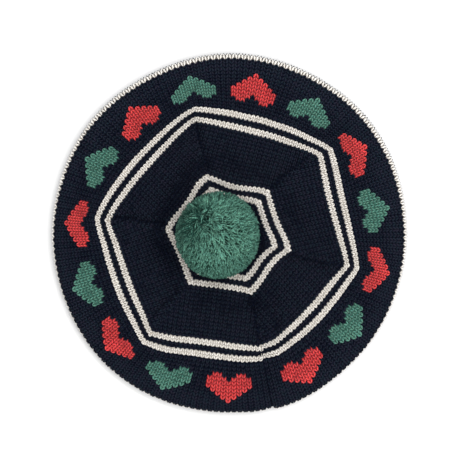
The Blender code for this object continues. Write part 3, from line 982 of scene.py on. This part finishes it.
def knit_back(node, columns, rows, place, dye_and_shade):
    """Wall of knit from one row to another, wrapped on the points that place() gives."""
    bpy.ops.mesh.primitive_grid_add(x_subdivisions=columns, y_subdivisions=rows[1] - rows[0],
                                    size=1.0)
    back = bpy.context.object
    back.name = node + "_back"
    mesh = back.data
    cell = [np.floor(share).astype(int)
            for share in grid_places(mesh.polygons, "center", columns, rows)]
    tint = np.column_stack((dye_and_shade(*cell), np.ones(len(cell[0]))))
    mesh.attributes.new("dye_and_shade", "FLOAT_COLOR", "FACE").data.foreach_set(
        "color", tint.astype(np.float32).ravel())
    spot = np.column_stack(grid_places(mesh.vertices, "co", columns, rows))
    owner = np.empty(len(mesh.loops), np.int32)
    mesh.loops.foreach_get("vertex_index", owner)
    mesh.uv_layers.active.data.foreach_set("uv", spot[owner].astype(np.float32).ravel())
    mesh.vertices.foreach_set("co", place(*spot.T).astype(np.float32).ravel())
    mesh.update()
    bpy.ops.object.mode_set(mode="EDIT")
    bpy.ops.mesh.select_mode(type="VERT")
    bpy.ops.mesh.select_all(action="DESELECT")
    bpy.ops.object.mode_set(mode="OBJECT")
    for corner in mesh.vertices:
        corner.select = corner.co.xy.length < MIDDLE_RADIUS
    bpy.ops.object.mode_set(mode="EDIT")
    if rows[1] > LAST_ROW:
        bpy.ops.mesh.merge(type="CENTER")
    bpy.ops.mesh.select_all(action="SELECT")
    bpy.ops.mesh.remove_doubles(threshold=MERGE_GAP)
    bpy.ops.object.mode_set(mode="OBJECT")
    wall = back.modifiers.new("wall", "SOLIDIFY")
    wall.thickness = BACK_WALL
    wall.offset = -1.0
    bpy.ops.object.modifier_apply(modifier=wall.name)
    mesh.shade_smooth()
    mesh.materials.append(purl_wool)
    hand_over(back)
    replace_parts(back, node)
    print(back.name, len(cell[0]), "cells,", len(mesh.polygons), "faces with its wall")


stripe_foot, middle = RIM_STRIPE[0], CROWN_ROWS[0][-1]
knit_back("crown", ROUND, (STRIPE_TOP, middle), back_of_hat, dye_and_shade_of_hat)
knit_back("rim_stripe", ROUND, (stripe_foot, STRIPE_TOP), back_of_hat, dye_and_shade_of_hat)
knit_back("underside", ROUND, (FIRST_ROW, stripe_foot), back_of_hat, dye_and_shade_of_hat)

# %% [markdown]
# ## Ribbed headband
#
# The band is two by two rib: two columns of V's stand proud, then two columns lie back and
# show their purl side, and so on, forty times round. The same V makes the proud columns,
# its point down, and a small modelled bump lies across each stitch of the purl columns.

# %% Headband
RIB_COUNT = 40
BAND_STITCHES = 4 * RIB_COUNT
BAND_ROWS = 8
RIB_DEPTH = 0.0011
# the band's rows share its height with some room above them, and its back stands off the floor
ROW_TALL = BAND_HEIGHT / (BAND_ROWS + 0.4)
BACK_FOOT = 0.0004
# an arc of yarn across a purl stitch, tilted at its ends
PURL_RINGS = (
    (0.000, 0.620, -0.80, 0.200, 0.32),
    (0.000, 0.330, 0.00, 0.300, 0.62),
    (0.000, -0.330, 0.00, 0.300, 0.62),
    (0.000, -0.620, -0.80, 0.200, 0.32),
)
purl = read_pattern(extruded_tube("purl_bump", PURL_RINGS, 5), PURL_RINGS)


def band_cells(columns, radius):
    """Stitches of some columns of the headband, knitted upwards from the floor."""
    row, column = (a.ravel() for a in np.meshgrid(np.arange(BAND_ROWS), columns, indexing="ij"))
    angle = np.radians((column - 0.5) * 360.0 / BAND_STITCHES)
    ring = np.stack((np.cos(angle), np.sin(angle), np.zeros(len(row))), axis=1)
    centre = ring * radius + np.array([0, 0, 1.0]) * ((row + 0.75) * ROW_TALL)[:, None]
    pitch = math.tau * radius / BAND_STITCHES
    across = np.stack((-ring[:, 1], ring[:, 0], ring[:, 2]), axis=1) * pitch
    down = np.tile((0.0, 0.0, -ROW_TALL), (len(row), 1))
    return pack_cells(centre, across, down, row, column)


columns = np.arange(BAND_STITCHES)
ribs = band_cells(columns[columns % 4 < 2], BAND_RADIUS)
hollows = band_cells(columns[columns % 4 > 1], BAND_RADIUS - RIB_DEPTH)
# turned a quarter, so that the yarn of the bumps lies across
hollows = dict(hollows, across=-hollows["down"], down=hollows["across"])
lay("rib_stitches", ribs, stitch, "navy", 18, pleated=False)
lay("rib_hollows", hollows, purl, "navy", 19, pleated=False)


# %% Back of the band
def back_of_band(column, row):
    """Place of the band's back, waved with the ribs."""
    angle = (column - 1) * math.tau / BAND_STITCHES
    hollow = RIB_DEPTH * (0.5 - 0.5 * np.cos(angle * RIB_COUNT))
    radius = BAND_RADIUS - BACK_DEPTH - hollow
    height = np.interp(row, (0, BAND_ROWS), (BACK_FOOT, BAND_HEIGHT))
    return np.column_stack((radius * np.cos(angle), radius * np.sin(angle), height))


def dye_of_band(column, row):
    """The band is navy all through."""
    return np.tile(DYES_AND_SHADE["navy"], (len(row), 1))


knit_back("headband", BAND_STITCHES, (0, BAND_ROWS), back_of_band, dye_of_band)

# %% [markdown]
# ## Pompom
#
# A pompom is hundreds of ends of yarn tied at the middle, fluffed and trimmed to a ball.
# One end is modelled as a tapered tube. Every copy grows from a small core to the
# trimmed sphere. The ends gather in tufts, and lie over away from the parting at the upper
# left, where the photo looks down into dark gaps between the tufts.

# %% One end of yarn
STRAND_RINGS = (
    (0.0, 0.00, 0.0, 0.60, 0.60),
    (0.0, 0.45, 0.0, 0.95, 0.95),
    (0.0, 0.72, 0.0, 1.00, 1.00),
    (0.0, 0.90, 0.0, 0.95, 0.95),
    (0.0, 1.00, 0.0, 0.50, 0.50),
)
strand = read_pattern(extruded_tube("yarn_end", STRAND_RINGS, 3), STRAND_RINGS)
print("yarn end:", len(strand["faces"]), "triangles")

# %% Sizes of the pompom
POMPOM_RADIUS = 0.0290
POMPOM_STRETCH = np.array([1.005, 1.045, 1.0])
# the gap over the crown, how high the middle sits over it, and how far down the tips of the
# ends and their yarn reach
PIECE_GAP = 0.0003
POMPOM_SEAT = 0.0238
TIP_FOOT, YARN_FOOT = 0.0233, 0.0237
POMPOM_CENTRE = np.array([-0.0077, 0.0, RIM_LEVEL + CROWN_RISE + PIECE_GAP + POMPOM_SEAT])
POMPOM_CORE = 0.0175
STRANDS = 7000
TUFTS = 520
# an end's thickness, where it starts, and where it is fullest bowed
STRAND_RADIUS = 0.00036
ROOT_RADIUS = 0.012
BOW_RADIUS = 0.0215
# which way the ball parts, and how far that wanders from tuft to tuft
PARTING = np.array([-0.47, 0.54, 0.70])
PARTING_SPREAD = 0.16
# the side of the ball given painted shade, and how much darker it is made
SHADED_SIDE = np.array([-0.595, 0.255, 0.762])
PAINTED_SIDE_SHADE = 0.58
# how unevenly tufts, tips and roots are spread over the ball, as shares of its radius
TUFT_SPREAD, TIP_SPREAD, ROOT_SPREAD = 0.08, 0.03, 0.07
# how unevenly tufts and ends are trimmed, ends at the parting more, and how far they curl
TUFT_TRIM, END_TRIM, PARTING_TRIM = 0.0007, 0.0004, 0.0014
CURL = 0.0013


def sphere_spots(count):
    """Even spots on a unit sphere, on a golden spiral."""
    index = np.arange(count) + 0.5
    height = 1 - 2 * index / count
    angle = index * math.pi * (3 - math.sqrt(5))
    ring = np.sqrt(1 - height * height)
    return np.stack((ring * np.cos(angle), ring * np.sin(angle), height), axis=1)


# %% Ends of yarn
def strand_ways(chance):
    """For each end: where its tip and its root point, how near the parting it is, its tuft."""
    tuft_way = unit(sphere_spots(TUFTS) + chance.normal(0, TUFT_SPREAD, (TUFTS, 3)))
    tuft_parting = unit(PARTING + chance.normal(0, PARTING_SPREAD, (TUFTS, 3)))
    tip_way = unit(sphere_spots(STRANDS) + chance.normal(0, TIP_SPREAD, (STRANDS, 3)))
    tuft = np.argmax(tip_way @ tuft_way.T, axis=1)
    parting = tuft_parting[tuft]
    cosine = np.sum(tip_way * parting, axis=1)
    near = np.arccos(np.clip(cosine, -1, 1))
    loose = bell(near, 0.55)[:, None]
    away = unit(tip_way - parting * cosine[:, None])
    away = unit(away + chance.normal(0, 0.5, (TUFTS, 3))[tuft] * loose)
    # tips gather in their tufts, most of all near the parting, and open away from it
    gather = 0.04 + 0.62 * loose
    opening = 0.06 * bell(near, 0.3)[:, None]
    tip_way = unit(tip_way + (tuft_way[tuft] - tip_way) * gather + away * opening)
    # ends lean over near the parting, and a little on the side that is combed down
    combed = smooth(0.5 - 0.7 * tip_way[:, 0] - 0.5 * tip_way[:, 1])
    lean = 0.45 * bell(near, 0.85) + 0.5 * combed * bell(near, 1.5)
    lean = np.minimum((0.08 + lean) * (1 + chance.normal(0, 0.3, STRANDS)), 0.1 + near)
    root_way = tip_way - away * lean[:, None] + chance.normal(0, ROOT_SPREAD, (STRANDS, 3))
    # and fewer of them grow there
    kept = chance.random(STRANDS) > 0.4 * bell(near, 0.40)
    return tip_way[kept], unit(root_way)[kept], near[kept], tuft[kept]


def lay_strands():
    """All ends of yarn of the pompom, as one mesh."""
    chance = np.random.default_rng(21)
    tip_way, root_way, near, tuft = strand_ways(chance)
    count = len(near)
    loose = bell(near, 0.6)
    # tufts and ends are trimmed a little short of the ball, more so near the parting
    tuft_trim = np.abs(chance.normal(0, TUFT_TRIM, TUFTS))[tuft] * (0.5 + 2.2 * loose)
    end_trim = np.abs(chance.normal(0, END_TRIM + PARTING_TRIM * loose, count))
    tip = tip_way * (POMPOM_RADIUS - tuft_trim - end_trim)[:, None]
    tip[:, 2] = np.maximum(tip[:, 2], -TIP_FOOT)
    # they bow aside on their way, and curl past three fifths of it, most on the right
    side = unit(np.cross(tip_way, unit(chance.normal(size=(count, 3)))))
    curly = CURL * (1 + 1.3 * smooth(0.3 + tip_way[:, 0]))
    curl = side * (curly * chance.normal(size=count))[:, None]
    bow = root_way * BOW_RADIUS + side * (curly * chance.normal(size=count))[:, None]
    x, y, z = strand["corners"].T
    t = y[None, :, None]
    path = ((1 - t) ** 2) * (root_way * ROOT_RADIUS)[:, None] + t * t * tip[:, None]
    path = path + 2 * t * (1 - t) * bow[:, None]
    path = path + curl[:, None] * (np.maximum(t - 0.6, 0) / 0.4) ** 2
    run = unit(tip - bow)
    one = unit(np.cross(run, unit(chance.normal(size=(count, 3)))))
    two = np.cross(run, one)
    thick = STRAND_RADIUS * (1 + chance.normal(0, 0.12, count))[:, None, None]
    points = path + thick * (x[None, :, None] * one[:, None] + z[None, :, None] * two[:, None])
    points[..., 2] = np.maximum(points[..., 2], -YARN_FOOT)
    corners = (points * POMPOM_STRETCH + POMPOM_CENTRE).reshape(-1, 3)
    faces = strand["faces"][None] + np.arange(count)[:, None, None] * len(strand["corners"])
    uv = strand["uv"][None] * np.array([1.0, 3.0]) + chance.random((count, 1, 1, 2))
    # each end has its own random tone, with painted shade on the shaded side, low on the ball
    # and towards its root
    tone = 0.58 + chance.normal(0, 0.14 + 0.36 * loose) + chance.normal(0, 0.05, TUFTS)[tuft]
    shaded = np.arccos(np.clip(tip_way @ SHADED_SIDE, -1, 1))
    tone = tone - PAINTED_SIDE_SHADE * bell(shaded, 0.65, 4) + 0.64 * (tip_way[:, 2] - 0.95)
    tone = np.clip(tone[:, None] + 2.0 * (y[None, :] - 0.85), -0.3, 1.2)
    return new_piece("pompom_yarn", corners, faces.reshape(-1, 3), uv.reshape(-1, 2),
                     tone.ravel(), wool["pompom"])


def pompom_core():
    """Packed middle of the pompom, which closes the gaps between the ends."""
    bpy.ops.mesh.primitive_ico_sphere_add(subdivisions=4, radius=POMPOM_CORE,
                                          location=POMPOM_CENTRE)
    core = bpy.context.object
    core.name = "pompom_core"
    bpy.ops.object.transform_apply(location=True, rotation=True, scale=True)
    core.data.shade_smooth()
    # the core has no tone, so its wool leans to its dark: painted shade deep between the ends
    core.data.materials.append(wool["pompom"])
    hand_over(core)


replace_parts(lay_strands(), "pompom")
pompom_core()

# %% Count
corners_each = [[len(face.vertices) for face in piece.data.polygons] for piece in pieces]
print("triangles in all:", sum(sum(counts) - 2 * len(counts) for counts in corners_each))

# %% [markdown]
# ## Floor, light and finish
#
# The photo's ground is plain white and its light soft and high, a little from the right.
# A wide pale floor carries the hat, one broad lamp hangs above it to the right, a weaker
# one hangs above its back, and the sky around fills the shadows.

# %% Floor and light
bpy.ops.mesh.primitive_circle_add(vertices=96, radius=6.0, fill_type="NGON", location=(0, 0, 0))
floor = bpy.context.object
floor.name = "floor"
bpy.ops.object.select_all(action="DESELECT")
floor_paint = bpy.data.materials.new("floor_paint")
floor_paint.use_nodes = True
set_inputs(floor_paint.node_tree.nodes["Principled BSDF"], Base_Color=(0.62, 0.62, 0.62, 1),
           Roughness=0.9)
floor.data.materials.append(floor_paint)


def add_lamp(name, place, width, watts):
    """Square soft lamp that looks at the hat."""
    light = bpy.data.lights.new(name, "AREA")
    light.shape = "SQUARE"
    light.size = width
    light.energy = watts
    lamp = bpy.data.objects.new(name, light)
    lamp.location = place
    towards_hat = Vector((0, 0, BAND_HEIGHT)) - Vector(place)
    lamp.rotation_euler = towards_hat.to_track_quat("-Z", "Y").to_euler()
    bpy.context.scene.collection.objects.link(lamp)


add_lamp("key_lamp", (0.42, -0.06, 1.98), 1.5, 41)
add_lamp("fill_lamp", (0.10, 0.40, 1.90), 1.0, 14)
sky = bpy.data.worlds.new("studio_sky")
sky.use_nodes = True
set_inputs(sky.node_tree.nodes["Background"], Color=(1, 1, 1, 1), Strength=0.85)
bpy.context.scene.world = sky
bpy.context.scene.view_settings.view_transform = "Standard"
